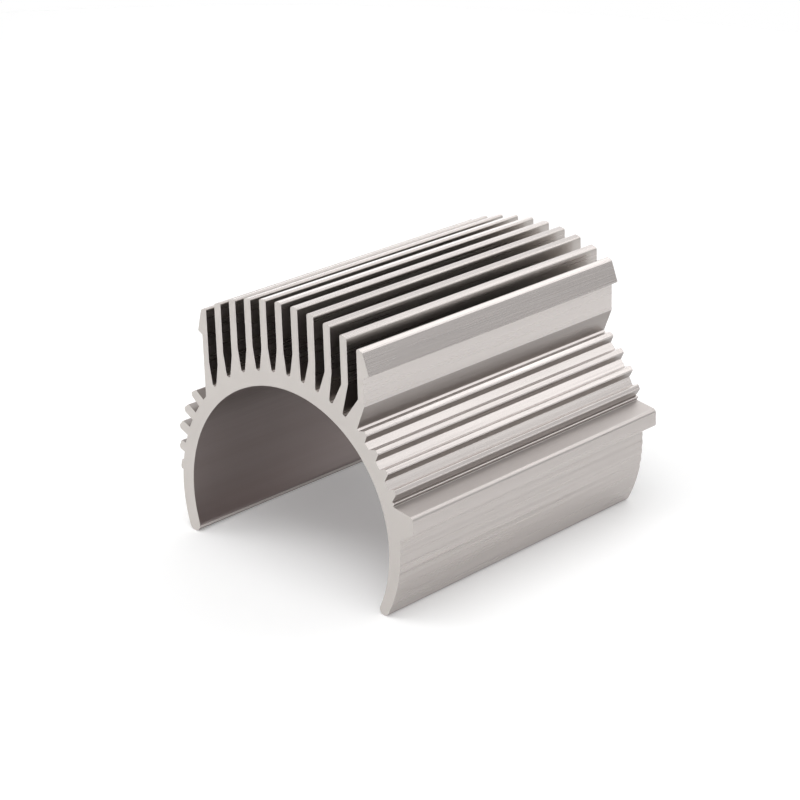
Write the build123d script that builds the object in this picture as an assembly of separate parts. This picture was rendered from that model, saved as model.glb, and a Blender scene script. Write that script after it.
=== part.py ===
from build123d import *
import os
from math import asin, cos, degrees, radians, sin, sqrt

# Clip-on heat sink for a can motor: one length of extruded aluminium profile.
# The section lies in XZ, seen along +Y with +X to the right and +Z up.
# The profile runs along Y, and the origin is on the axis of the motor seat at half length.
# Lengths are in millimetres. Angles are in degrees, from +X towards +Z.

# Length that is sawn from the bar
length = 50.0

# Saddle that grips the motor can
seat_radius = 17.85
wall = 2.0
right_leg_end_angle = -26.3
left_leg_end_angle = 196.6
right_leg_thins_angle = 3.0
right_leg_end_wall = 1.55

# Fins
fin_count = 11
fin_pitch = 2.8
fin_gap = 1.62
tip_radius = 29.4
tip_corner = 0.3
outer_fin_thickness = 0.97
gap_foot_radius = 0.36
gap_taper_height = 2.8
gap_foot_angle = 7.35
gap_left_start_ratio = 0.8
gap_right_start_ratio = 0.25

# Foot of the right outer fin, which leans in towards the wall
foot_kink_height = 18.5
foot_lean_ratio = 0.42

# Barbs along the outer fins, over which a fan bracket snaps
barb_drop = 2.94
barb_undercut = 0.5
right_barb_depth = 1.02
left_barb_depth = 0.78
barb_corner = 0.12

# Ribs on the right flank, of which the first has a top that falls away from the outer fin
right_rib_first_angle = 45.25
right_rib_step_angle = 7.55
right_rib_rise = 1.1
right_rib_top_fall_angles = (-1.6, 0.75, 0.75, 0.75)
right_rib_top_angle = 1.9
right_rib_top_rise = 0.85
right_rib_foot_angle = 1.2
right_rib_foot_growth_angle = 0.3
rib_corner = 0.22

# Ribs on the left flank, which stand further out and fade downwards
left_rib_first_angle = 138.9
left_rib_step_angle = 7.8
left_rib_rise = 2.1
left_rib_rise_ratios = (1.0, 0.95, 0.86, 0.5, 0.2)
left_rib_width_angle = 4.2
left_rib_tip_angle = 2.6
left_rib_lower_angle = 3.6
left_rib_shoulder_ratio = 0.82

# Bead and ledge under the right ribs
bead_angle = 19.7
bead_half_angle = 0.9
bead_rise = 0.45
ledge_top_angle = 19.6
ledge_reach = 22.05
ledge_slope_ratio = 0.215
ledge_top_corner = 0.6
ledge_foot_height = 3.3
ledge_foot_corner = 0.25
ledge_foot_angle = 5.7

# Shallow flutes on the outside of the right leg
flute_count = 4
flute_first_angle = 2.5
flute_step_angle = 3.8
flute_radius = 1.6
flute_depth = 0.08

# How far a piece of the section runs into the wall that carries it
root_depth = 0.6

# Places closer than this are the same place
same_place = 0.01

# Angle of a square corner, which is also the way straight up
square_angle = 90.0

wall_radius = seat_radius + wall
middle_radius = seat_radius + wall / 2
fin_thickness = fin_pitch - fin_gap
gap_count = fin_count - 1
above_tips = tip_radius + fin_pitch
outer_face = gap_count / 2 * fin_pitch - fin_thickness / 2 + outer_fin_thickness


def around(radius, angle):
    """Point at a radius and an angle about the seat's axis."""
    return (radius * cos(radians(angle)), radius * sin(radians(angle)))


def circle_height(radius, x):
    """Height of a circle about the seat's axis above the place x."""
    return sqrt(radius ** 2 - x ** 2)


def face_from(points):
    """Flat face inside a closed run of straight lines."""
    return make_face(Polyline(*points, close=True))


def rounded(shape, near, radius):
    """The shape with its corner nearest to each given point rounded."""
    corners = []
    for point in near:
        spot = Vector(*point)
        corners.append(min(shape.vertices(), key=lambda corner: (Vector(corner.X, corner.Y) - spot).length))
    return fillet(corners, radius)


def saddle():
    """The wall round the motor, open below, with rounded leg ends."""
    right_in = around(seat_radius, right_leg_end_angle)
    right_out = around(seat_radius + right_leg_end_wall, right_leg_end_angle)
    left_in = around(seat_radius, left_leg_end_angle)
    left_out = around(wall_radius, left_leg_end_angle)
    thinning = around(wall_radius, right_leg_thins_angle)
    half_thinned_radius = wall_radius - (wall - right_leg_end_wall) / 2
    half_thinned = around(half_thinned_radius, (right_leg_thins_angle + right_leg_end_angle) / 2)
    right_middle = Vector(*around(seat_radius + right_leg_end_wall / 2, right_leg_end_angle))
    left_middle = Vector(*around(seat_radius + wall / 2, left_leg_end_angle))
    right_tip = right_middle + Vector(*around(right_leg_end_wall / 2, right_leg_end_angle - square_angle))
    left_tip = left_middle + Vector(*around(wall / 2, left_leg_end_angle + square_angle))
    outline = [
        ThreePointArc(right_in, (0, seat_radius), left_in),
        ThreePointArc(left_in, left_tip, left_out),
        ThreePointArc(left_out, (0, wall_radius), thinning),
        ThreePointArc(thinning, half_thinned, right_out),
        ThreePointArc(right_out, right_tip, right_in),
    ]
    return make_face(outline)


def fin_block():
    """Block that the fins are left of: its top is an arc, and its right foot leans in."""
    foot_height = circle_height(middle_radius, outer_face)
    lean = foot_lean_ratio * (foot_kink_height - foot_height)
    block = face_from([
        (-outer_face, foot_height),
        (outer_face - lean, foot_height),
        (outer_face, foot_kink_height),
        (outer_face, above_tips),
        (-outer_face, above_tips),
    ])
    return (block & Circle(tip_radius)) - Circle(middle_radius)


def fin_gap_face(number):
    """Gap between two fins: parallel sides that close to a round foot on the wall."""
    middle = (number - gap_count / 2 + 0.5) * fin_pitch
    foot_radius = wall_radius + gap_foot_radius
    angle = square_angle - (number - gap_count / 2 + 0.5) * gap_foot_angle
    foot_x = min(middle, around(foot_radius, angle)[0])
    foot = Vector(foot_x, circle_height(foot_radius, foot_x))
    lean = middle - foot_x
    right_start = foot.Y + gap_taper_height - gap_right_start_ratio * lean
    left_start = foot.Y + gap_taper_height + gap_left_start_ratio * lean
    down = (foot - Vector(middle, (right_start + left_start) / 2)).normalized()
    side = Vector(-down.Y, down.X) * gap_foot_radius
    gap = face_from([
        (middle - fin_gap / 2, above_tips),
        (middle - fin_gap / 2, left_start),
        (foot - side),
        (foot + side),
        (middle + fin_gap / 2, right_start),
        (middle + fin_gap / 2, above_tips),
    ])
    return gap + Pos(foot.X, foot.Y) * Circle(gap_foot_radius)


def barb(side, depth):
    """Barb on an outer fin: a slanted outer face over a short undercut step."""
    tip_height = circle_height(tip_radius, outer_face)
    edge_height = tip_height - barb_drop
    edge = outer_face + depth
    inside = outer_face - outer_fin_thickness / 2
    points = [
        (inside, tip_height),
        (outer_face, tip_height),
        (edge, edge_height),
        (outer_face, edge_height - barb_undercut),
        (inside, edge_height - barb_undercut),
    ]
    face = rounded(face_from(points), [(edge, edge_height)], barb_corner)
    return face if side > 0 else mirror(face, about=Plane.YZ)


def right_rib(number, top_fall_angle):
    """Rib on the right flank: a nearly level top, a rounded nose and a steep underside."""
    nose = right_rib_first_angle - number * right_rib_step_angle
    corner = around(wall_radius + right_rib_top_rise, nose + right_rib_top_angle)
    tip = around(wall_radius + right_rib_rise, nose)
    root = degrees(asin(corner[1] / wall_radius)) - top_fall_angle
    foot = nose - right_rib_foot_angle - number * right_rib_foot_growth_angle
    points = [
        around(wall_radius - root_depth, foot),
        around(wall_radius, foot),
        tip,
        corner,
        around(wall_radius, root),
        around(wall_radius - root_depth, root),
    ]
    return rounded(face_from(points), [tip, corner], rib_corner)


def left_rib(number, rise):
    """Rib on the left flank: it stands square to the wall, with a slanted outer end."""
    top = left_rib_first_angle + number * left_rib_step_angle
    shoulder = around(wall_radius + left_rib_shoulder_ratio * rise, top)
    tip = around(wall_radius + rise, top + left_rib_tip_angle)
    lower = around(wall_radius + left_rib_shoulder_ratio * rise, top + left_rib_lower_angle)
    points = [
        around(wall_radius - root_depth, top),
        shoulder,
        tip,
        lower,
        around(wall_radius - root_depth, top + left_rib_width_angle),
    ]
    return rounded(face_from(points), [shoulder, tip, lower], rib_corner * rise / left_rib_rise)


def bead():
    """Small bead between the lowest right rib and the ledge."""
    return face_from([
        around(wall_radius - root_depth, bead_angle - bead_half_angle),
        around(wall_radius, bead_angle - bead_half_angle),
        around(wall_radius + bead_rise, bead_angle),
        around(wall_radius, bead_angle + bead_half_angle),
        around(wall_radius - root_depth, bead_angle + bead_half_angle),
    ])


def ledge():
    """Wedge-shaped ledge along the right flank."""
    root = around(wall_radius - root_depth, ledge_top_angle)
    top_corner = (ledge_reach, root[1] - ledge_slope_ratio * (ledge_reach - root[0]))
    foot_corner = (ledge_reach, ledge_foot_height)
    face = face_from([
        root,
        top_corner,
        foot_corner,
        around(wall_radius, ledge_foot_angle),
        around(wall_radius - root_depth, ledge_foot_angle),
    ])
    face = rounded(face, [top_corner], ledge_top_corner)
    return rounded(face, [foot_corner], ledge_foot_corner)


def flute(number):
    """Round cutter of one shallow flute on the outside of the right leg."""
    angle = flute_first_angle - number * flute_step_angle
    thinned = (right_leg_thins_angle - angle) / (right_leg_thins_angle - right_leg_end_angle)
    skin = wall_radius - (wall - right_leg_end_wall) * thinned
    return Pos(*around(skin + flute_radius - flute_depth, angle)) * Circle(flute_radius)


def section():
    """Whole section of the profile."""
    shape = saddle() + fin_block() + bead() + ledge()
    shape += barb(1, right_barb_depth) + barb(-1, left_barb_depth)
    for number, top_fall_angle in enumerate(right_rib_top_fall_angles):
        shape += right_rib(number, top_fall_angle)
    for number, ratio in enumerate(left_rib_rise_ratios):
        shape += left_rib(number, left_rib_rise * ratio)
    for number in range(gap_count):
        shape -= fin_gap_face(number)
    for number in range(flute_count):
        shape -= flute(number)
    tips = []
    for corner in shape.vertices():
        if abs(Vector(corner.X, corner.Y).length - tip_radius) < same_place:
            tips.append(corner)
    return fillet(tips, tip_corner)


os.makedirs("parts", exist_ok=True)
heat_sink = extrude(Plane.XZ * section(), amount=length / 2, both=True)
export_step(heat_sink, "parts/heat_sink.step")
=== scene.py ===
from math import cos, radians, sin

import bpy
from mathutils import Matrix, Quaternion, Vector


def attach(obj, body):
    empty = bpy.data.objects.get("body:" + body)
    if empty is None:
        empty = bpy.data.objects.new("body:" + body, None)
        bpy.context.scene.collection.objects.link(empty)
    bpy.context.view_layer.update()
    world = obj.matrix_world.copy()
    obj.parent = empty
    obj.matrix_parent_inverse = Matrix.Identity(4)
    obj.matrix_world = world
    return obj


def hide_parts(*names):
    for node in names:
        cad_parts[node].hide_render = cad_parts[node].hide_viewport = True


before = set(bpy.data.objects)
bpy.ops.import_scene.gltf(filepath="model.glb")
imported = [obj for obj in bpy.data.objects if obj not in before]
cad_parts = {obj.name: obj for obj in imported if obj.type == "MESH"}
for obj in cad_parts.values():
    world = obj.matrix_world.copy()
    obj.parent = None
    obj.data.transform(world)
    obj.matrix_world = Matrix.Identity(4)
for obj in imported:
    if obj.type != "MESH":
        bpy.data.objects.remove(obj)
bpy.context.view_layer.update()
scene = bpy.context.scene

# The profile runs along Y, and the origin is on the axis of the motor seat at half length.
# Lengths are in metres.

# Radii of the motor seat and of the wall round it
seat_radius = 0.01785
wall_radius = 0.01985

# Outer face of the outer fins, lowest place of a gap between fins, and where the left ribs start
outer_face = 0.01438
gap_floor = 0.0154
groove_start = 0.0144

# Ledge: height above which undersides get painted shade, height of its root, and inner side of its top
ledge_height = 0.006
ledge_root = 0.0066
ledge_start = 0.0187

# Places closer than this are the same place
near = 0.0001

# Finishes in their order on the piece; the seat, gap, undercut and flank tints are painted shade
skin, sawn_end, seat, gap, undercut, flank, ledge_top = range(7)

# Share of a face's normal that lies along one axis: what tells one finish from another, and where shade is
# painted
end_share = 0.2
leg_end_share = 0.6
undercut_share = 0.25
gap_share = 0.8
groove_share = 0.2
level_share = 0.95

# Ribs on the right flank: the corner between the top and the outer face of each, and how far it is
# pushed out
rib_count = 4
rib_corner_angle = 47.15
rib_step_angle = 7.55
rib_corner_radius = 0.0207
rib_corner_reach = 0.00015
rib_push = 0.00015

# Valley between the foot of the right outer fin and the first rib. The edge that it is cut in is longer
# than its least width, and level to within it.
fin_foot = (0.01307, 0.0, 0.01538)
valley_bottom = (0.01329, 0.0, 0.01512)
valley_least_width = 0.0005

# Bead under the ribs
bead_radius = 0.0203
bead_angle = 19.7
bead_rounding = 0.00025
bead_steps = 4

# Clean-up of the mesh, softening of its edges, and the angle from which an edge is sharp
merge_distance = 0.000002
flat_angle = radians(0.2)
softening = 0.00006
softening_steps = 2
sharp_angle = radians(28)

# How far the roughness of extruded metal strays along its die lines
roughness_play = 0.05

# The sink stands on its two unlike legs, so a level table lies at this slant and depth in the part's frame.
table_slant = radians(4.35)
table_depth = 0.00776
table_radius = 0.3
table_corners = 96
table_lift = 0.2

# Strength of the studio's light on matt things
room_level = 0.27

# White backdrop in the metal: it ends at the first height of a direction, and the dimmer ceiling starts
# at the second, about 17 and 27 degrees above the horizon
backdrop_top = 0.3
ceiling_start = 0.45
ceiling_level = 0.32

# Long grey flag in the metal: its direction, how closely a direction has to follow it, and its upper edge.
# It fades in from each edge to the inner one.
flag_way = (0.719, 0.695, 0.02)
flag_edge = 0.7
flag_inner_edge = 0.85
flag_top = 0.24
flag_inner_top = 0.12
flag_level = 0.5

# Distance of the lamps that are placed round the sink
lamp_distance = 0.5

# Camera that was fitted to the photograph
sensor_width_mm = 36.0
focal_length_mm = 108.25
camera_place = (0.20786, -0.22662, 0.11945)
camera_aim = (0.00758, -0.01109, 0.01405)
camera_roll = radians(-1.727)


def linear(code):
    """Linear colour of an sRGB hex value."""
    parts = [int(code[place:place + 2], 16) / 255 for place in (1, 3, 5)]
    return [part / 12.92 if part <= 0.04045 else ((part + 0.055) / 1.055) ** 2.4 for part in parts] + [1.0]


def add(tree, kind, links=None, values=None, **settings):
    """Adds a node with its settings, then the values of its sockets, then the links into it."""
    node = tree.nodes.new(kind)
    for name, value in settings.items():
        setattr(node, name, value)
    for name, value in (values or {}).items():
        node.inputs[name].default_value = value
    for name, socket in (links or {}).items():
        tree.links.new(socket, node.inputs[name])
    return node


def new_material(name):
    """Empty node material with its tree and its output node."""
    material = bpy.data.materials.new(name)
    material.use_nodes = True
    tree = material.node_tree
    tree.nodes.clear()
    return material, tree, tree.nodes.new("ShaderNodeOutputMaterial")


def deselect():
    """Nothing is selected, so an operator acts only on what is chosen next."""
    bpy.ops.object.select_all(action="DESELECT")


def extruded_aluminium(finish_and_painted_shade, dark, light, roughness, line_depth):
    """As-extruded aluminium: satin, with fine lines that the die left along the profile."""
    material, tree, output = new_material("extruded_aluminium_" + finish_and_painted_shade)
    place = add(tree, "ShaderNodeTexCoord")
    # Die lines are about 0.25 mm apart across the profile, and each fades after about 20 mm
    stretch = add(tree, "ShaderNodeMapping", {"Vector": place.outputs["Object"]},
                  {"Scale": (1.0, 0.012, 1.0)})
    lines = add(tree, "ShaderNodeTexNoise", {"Vector": stretch.outputs["Vector"]},
                {"Scale": 4000.0, "Detail": 2.0, "Roughness": 0.6})
    # Broader bands, about 1.5 mm, where the metal ran a little brighter or duller through the die
    bands = add(tree, "ShaderNodeTexNoise", {"Vector": stretch.outputs["Vector"]},
                {"Scale": 650.0, "Detail": 1.0})
    tint = add(tree, "ShaderNodeMix", {"Factor": bands.outputs["Fac"]}, data_type="RGBA")
    tint.inputs[6].default_value = linear(dark)
    tint.inputs[7].default_value = linear(light)
    rough = add(tree, "ShaderNodeMapRange", {"Value": lines.outputs["Fac"]},
                {"From Min": 0.3, "From Max": 0.7,
                 "To Min": roughness - roughness_play, "To Max": roughness + roughness_play})
    bump = add(tree, "ShaderNodeBump", {"Height": lines.outputs["Fac"]},
               {"Strength": line_depth, "Distance": 0.00003})
    shader = add(tree, "ShaderNodeBsdfPrincipled",
                 {"Base Color": tint.outputs[2], "Roughness": rough.outputs["Result"],
                  "Normal": bump.outputs["Normal"]},
                 {"Metallic": 1.0})
    tree.links.new(shader.outputs["BSDF"], output.inputs["Surface"])
    return material


def sawn_aluminium():
    """Sawn aluminium: matt and even, with a faint grain of saw marks across the end."""
    material, tree, output = new_material("sawn_aluminium_matt")
    place = add(tree, "ShaderNodeTexCoord")
    # Saw marks are about 0.4 mm apart and run level across the end
    stretch = add(tree, "ShaderNodeMapping", {"Vector": place.outputs["Object"]},
                  {"Scale": (0.25, 1.0, 1.0)})
    marks = add(tree, "ShaderNodeTexNoise", {"Vector": stretch.outputs["Vector"]},
                {"Scale": 2600.0, "Detail": 3.0, "Roughness": 0.65})
    clouds = add(tree, "ShaderNodeTexNoise", {"Vector": place.outputs["Object"]},
                 {"Scale": 160.0, "Detail": 1.0})
    tint = add(tree, "ShaderNodeMix", {"Factor": clouds.outputs["Fac"]}, data_type="RGBA")
    tint.inputs[6].default_value = linear("#C6C1BD")
    tint.inputs[7].default_value = linear("#CEC9C5")
    bump = add(tree, "ShaderNodeBump", {"Height": marks.outputs["Fac"]},
               {"Strength": 0.3, "Distance": 0.00002})
    shader = add(tree, "ShaderNodeBsdfPrincipled",
                 {"Base Color": tint.outputs[2], "Normal": bump.outputs["Normal"]},
                 {"Metallic": 1.0, "Roughness": 0.55})
    tree.links.new(shader.outputs["BSDF"], output.inputs["Surface"])
    return material


def finishes_and_painted_shades():
    """Finishes of the profile in their order: one metal, with tints and gloss matched to the photograph;
    darker tints are painted shade.
    """
    return [
        # Skin: bright satin
        extruded_aluminium("satin", "#C3BDBA", "#CDC7C4", roughness=0.25, line_depth=0.2),
        sawn_aluminium(),
        # Motor seat and undersides of the leg ends: duller, with the faintest lines, and darker with
        # painted shade, the dark that the seat mirrors and the leg ends' contact shadow
        extruded_aluminium("seat", "#8F8583", "#998F8D", roughness=0.35, line_depth=0.1),
        # Walls of the gaps between the fins: a little darker than the skin, which is painted shade between
        # the fins
        extruded_aluminium("gap", "#BAB4B0", "#C4BEBA", roughness=0.3, line_depth=0.2),
        # Undersides of the ribs and barbs, and sides of the left ribs that face the fins: darker, which is
        # painted shade under the ribs and barbs and in the grooves
        extruded_aluminium("undercut", "#948E8B", "#A09A97", roughness=0.32, line_depth=0.2),
        # Right leg and side of the ledge: a little duller than the skin, with the clearest lines, and
        # darker with painted shade on this side
        extruded_aluminium("flank", "#B8B2AF", "#C3BDBA", roughness=0.3, line_depth=0.25),
        # Top of the ledge: matt
        extruded_aluminium("ledge", "#C8C2BF", "#D0CAC7", roughness=0.55, line_depth=0.2),
    ]


def zone(face):
    """Which finish a face has, darker where shade is painted, from its place in the section and the way it
    faces.
    """
    place = face.center
    radius = (place.x ** 2 + place.z ** 2) ** 0.5
    outside = radius > wall_radius
    if abs(face.normal.y) > end_share:
        return sawn_end
    # The seat and the undersides of the leg ends get painted shade
    if radius < seat_radius + near or (place.z < 0.0 and face.normal.z < -leg_end_share):
        return seat
    # Undersides above the ledge get painted shade
    if outside and place.z > ledge_height and face.normal.z < -undercut_share:
        return undercut
    # Walls between the fins get painted shade
    between_fins = abs(place.x) < outer_face - near and place.z > gap_floor
    if outside and between_fins and abs(face.normal.z) < gap_share:
        return gap
    # Sides of the left ribs that face the fins get painted shade
    if place.x < -groove_start and place.z > 0.0 and face.normal.x > groove_share:
        return undercut
    # The right leg and the side of the ledge get painted shade; the top of the ledge is only matt
    if place.x > 0.0 and place.z < ledge_root:
        on_top = place.x > ledge_start and face.normal.z > level_share
        return ledge_top if on_top else flank
    return skin


def section_place(radius, angle):
    """Place in the section, in XZ, at a radius and an angle in degrees about the seat's axis."""
    return Vector((radius * cos(radians(angle)), 0.0, radius * sin(radians(angle))))


def in_section(vertex):
    """Place of a vertex in the section, whatever its place along the profile."""
    return Vector((vertex.co.x, 0.0, vertex.co.z))


def choose(piece, kind, is_wanted):
    """Goes into edit mode with only the wanted vertices or edges selected."""
    bpy.ops.object.mode_set(mode="EDIT")
    bpy.ops.mesh.select_mode(type=kind)
    bpy.ops.mesh.select_all(action="DESELECT")
    bpy.ops.object.mode_set(mode="OBJECT")
    for part in piece.data.vertices if kind == "VERT" else piece.data.edges:
        part.select = is_wanted(part)
    bpy.ops.object.mode_set(mode="EDIT")


def turn_out_ribs(piece):
    """The outer faces of the right ribs are turned concentric with the wall."""
    for number in range(rib_count):
        angle = rib_corner_angle - number * rib_step_angle
        corner = section_place(rib_corner_radius, angle)
        choose(piece, "VERT", lambda vertex: (in_section(vertex) - corner).length < rib_corner_reach)
        bpy.ops.transform.translate(value=section_place(rib_push, angle))
    bpy.ops.object.mode_set(mode="OBJECT")


def cut_valley(piece):
    """A narrow valley runs between the foot of the outer fin and the first rib, from end to end."""
    points = piece.data.vertices

    def across_top(edge):
        first, last = (points[place] for place in edge.vertices)
        ends = sorted([first, last], key=lambda vertex: vertex.co.x)
        at_end = abs(first.co.y - last.co.y) < near
        level = abs(first.co.z - last.co.z) < valley_least_width < ends[1].co.x - ends[0].co.x
        return at_end and level and (in_section(ends[0]) - Vector(fin_foot)).length < near

    choose(piece, "EDGE", across_top)
    bpy.ops.mesh.subdivide(number_cuts=1)
    bpy.ops.object.mode_set(mode="OBJECT")
    middle = (Vector(fin_foot) + section_place(rib_corner_radius + rib_push, rib_corner_angle)) / 2
    choose(piece, "VERT", lambda vertex: (in_section(vertex) - middle).length < rib_corner_reach)
    bpy.ops.transform.translate(value=Vector(valley_bottom) - middle)
    bpy.ops.object.mode_set(mode="OBJECT")


def round_bead(piece):
    """The bead under the ribs has a round top."""
    points = piece.data.vertices
    tip = section_place(bead_radius, bead_angle)
    choose(piece, "EDGE",
           lambda edge: all((in_section(points[place]) - tip).length < near for place in edge.vertices))
    bpy.ops.mesh.bevel(offset=bead_rounding, segments=bead_steps)
    bpy.ops.object.mode_set(mode="OBJECT")


def heat_sink_profile():
    """The extruded profile with its edges softened and its two sawn ends."""
    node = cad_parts["heat_sink"]
    piece = node.copy()
    piece.data = node.data.copy()
    piece.name = "heat_sink_profile"
    scene.collection.objects.link(piece)
    deselect()
    piece.select_set(True)
    bpy.context.view_layer.objects.active = piece
    bpy.ops.object.mode_set(mode="EDIT")
    bpy.ops.mesh.select_all(action="SELECT")
    bpy.ops.mesh.remove_doubles(threshold=merge_distance)
    bpy.ops.mesh.dissolve_limited(angle_limit=flat_angle)
    bpy.ops.object.mode_set(mode="OBJECT")
    turn_out_ribs(piece)
    cut_valley(piece)
    round_bead(piece)
    # Narrow faces hold the softening back to about half of this width
    soften = piece.modifiers.new("soften", "BEVEL")
    soften.width = softening
    soften.segments = softening_steps
    soften.limit_method = "ANGLE"
    soften.angle_limit = sharp_angle
    bpy.ops.object.modifier_apply(modifier="soften")
    piece.data.materials.clear()
    for finish_and_painted_shade in finishes_and_painted_shades():
        piece.data.materials.append(finish_and_painted_shade)
    for face in piece.data.polygons:
        face.material_index = zone(face)
    bpy.ops.object.shade_smooth_by_angle(angle=sharp_angle)
    # Flat faces stay flat up to the roundings beside them, so that only the roundings catch the lamps
    flat = piece.modifiers.new("flat_faces", "WEIGHTED_NORMAL")
    flat.keep_sharp = True
    bpy.ops.object.modifier_apply(modifier="flat_faces")
    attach(piece, "root")
    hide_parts("heat_sink")


def table():
    """Pale table top that the sink stands on, level with both leg ends."""
    deselect()
    bpy.ops.mesh.primitive_circle_add(vertices=table_corners, radius=table_radius, fill_type="NGON")
    top = bpy.context.object
    top.name = "table_top"
    top.rotation_euler = (0.0, table_slant, 0.0)
    top.location = (0.0, 0.0, -table_depth)
    bpy.ops.object.transform_apply(location=True, rotation=True, scale=True)
    material, tree, output = new_material("white_paper_matt")
    paper = add(tree, "ShaderNodeBsdfDiffuse", values={"Color": linear("#F2F2F2")})
    # What the camera and the metal see of the table is lifted towards white
    path = add(tree, "ShaderNodeLightPath")
    seen = add(tree, "ShaderNodeMath",
               {0: path.outputs["Is Camera Ray"], 1: path.outputs["Is Glossy Ray"]},
               operation="MAXIMUM")
    seen = add(tree, "ShaderNodeMath", {0: seen.outputs[0], 1: path.outputs["Is Transmission Ray"]},
               operation="MAXIMUM")
    lift = add(tree, "ShaderNodeMath", {0: seen.outputs[0]}, {1: table_lift}, operation="MULTIPLY")
    glow = add(tree, "ShaderNodeEmission", {"Strength": lift.outputs[0]})
    both = add(tree, "ShaderNodeAddShader", {0: paper.outputs[0], 1: glow.outputs[0]})
    tree.links.new(both.outputs[0], output.inputs["Surface"])
    top.data.materials.append(material)


def around(azimuth, elevation):
    """Place of a lamp at its distance from the sink, at an azimuth from +X and an elevation in degrees."""
    side = lamp_distance * cos(radians(elevation))
    height = lamp_distance * sin(radians(elevation))
    return (side * cos(radians(azimuth)), side * sin(radians(azimuth)), height)


def softbox(name, place, size, power):
    """Square soft lamp that faces the sink."""
    lamp = bpy.data.lights.new(name, "AREA")
    lamp.shape = "SQUARE"
    lamp.size = size
    lamp.energy = power
    holder = bpy.data.objects.new(name, lamp)
    holder.location = place
    holder.rotation_euler = (-Vector(place)).to_track_quat("-Z", "Y").to_euler()
    scene.collection.objects.link(holder)


def lamps():
    """Soft lamps of the studio, all round and over the sink."""
    softbox("top_softbox", (0.03, -0.12, 0.48), size=0.35, power=1.15)
    softbox("right_back_softbox", around(57, 33), size=0.25, power=0.25)
    softbox("high_back_softbox", around(85, 50), size=0.25, power=0.19)
    softbox("back_softbox", around(122, 30), size=0.45, power=0.52)
    softbox("left_front_softbox", around(215, 30), size=0.25, power=0.55)
    softbox("right_front_softbox", around(320, 40), size=0.25, power=0.32)
    softbox("right_softbox", around(0, 40), size=0.25, power=0.12)


def room():
    """Studio: white round the horizon and below it, dimmer overhead, and a softer light of its own."""
    world = bpy.data.worlds.new("white_studio")
    world.use_nodes = True
    tree = world.node_tree
    tree.nodes.clear()
    output = tree.nodes.new("ShaderNodeOutputWorld")
    way = add(tree, "ShaderNodeTexCoord")
    height = add(tree, "ShaderNodeSeparateXYZ", {"Vector": way.outputs["Generated"]})
    shade = add(tree, "ShaderNodeMapRange", {"Value": height.outputs["Z"]},
                {"From Min": backdrop_top, "From Max": ceiling_start,
                 "To Min": 1.0, "To Max": ceiling_level})
    # The grey flag stands at the right behind the sink, low on the horizon
    side = add(tree, "ShaderNodeVectorMath", {0: way.outputs["Generated"]}, {1: flag_way},
               operation="DOT_PRODUCT")
    wide = add(tree, "ShaderNodeMapRange", {"Value": side.outputs["Value"]},
               {"From Min": flag_edge, "From Max": flag_inner_edge})
    low = add(tree, "ShaderNodeMapRange", {"Value": height.outputs["Z"]},
              {"From Min": flag_top, "From Max": flag_inner_top})
    flag = add(tree, "ShaderNodeMath", {0: wide.outputs["Result"], 1: low.outputs["Result"]},
               operation="MULTIPLY")
    flagged = add(tree, "ShaderNodeMapRange", {"Value": flag.outputs[0]},
                  {"To Min": 1.0, "To Max": flag_level})
    seen_level = add(tree, "ShaderNodeMath", {0: shade.outputs["Result"], 1: flagged.outputs["Result"]},
                     operation="MULTIPLY")
    # Glossy and transmission rays see the studio, and matt things get its even light
    path = add(tree, "ShaderNodeLightPath")
    seen = add(tree, "ShaderNodeMath",
               {0: path.outputs["Is Glossy Ray"], 1: path.outputs["Is Transmission Ray"]},
               operation="MAXIMUM")
    level = add(tree, "ShaderNodeMapRange", {"Value": seen.outputs[0], "To Max": seen_level.outputs[0]},
                {"To Min": room_level})
    # The camera sees a plain white backdrop all round
    white = add(tree, "ShaderNodeMath", {0: level.outputs["Result"], 1: path.outputs["Is Camera Ray"]},
                operation="MAXIMUM")
    light = add(tree, "ShaderNodeBackground", {"Strength": white.outputs[0]},
                {"Color": (1.0, 1.0, 1.0, 1.0)})
    tree.links.new(light.outputs[0], output.inputs["Surface"])
    scene.world = world


def camera():
    """Camera at the photograph's viewing angle, with its slight roll."""
    lens = bpy.data.cameras.new("camera")
    lens.sensor_width = sensor_width_mm
    lens.lens = focal_length_mm
    holder = bpy.data.objects.new("camera", lens)
    place = Vector(camera_place)
    upright = (Vector(camera_aim) - place).to_track_quat("-Z", "Y")
    holder.location = place
    holder.rotation_euler = (upright @ Quaternion((0.0, 0.0, 1.0), camera_roll)).to_euler()
    scene.collection.objects.link(holder)
    scene.camera = holder


camera()
heat_sink_profile()
table()
room()
lamps()
scene.view_settings.view_transform = "Standard"
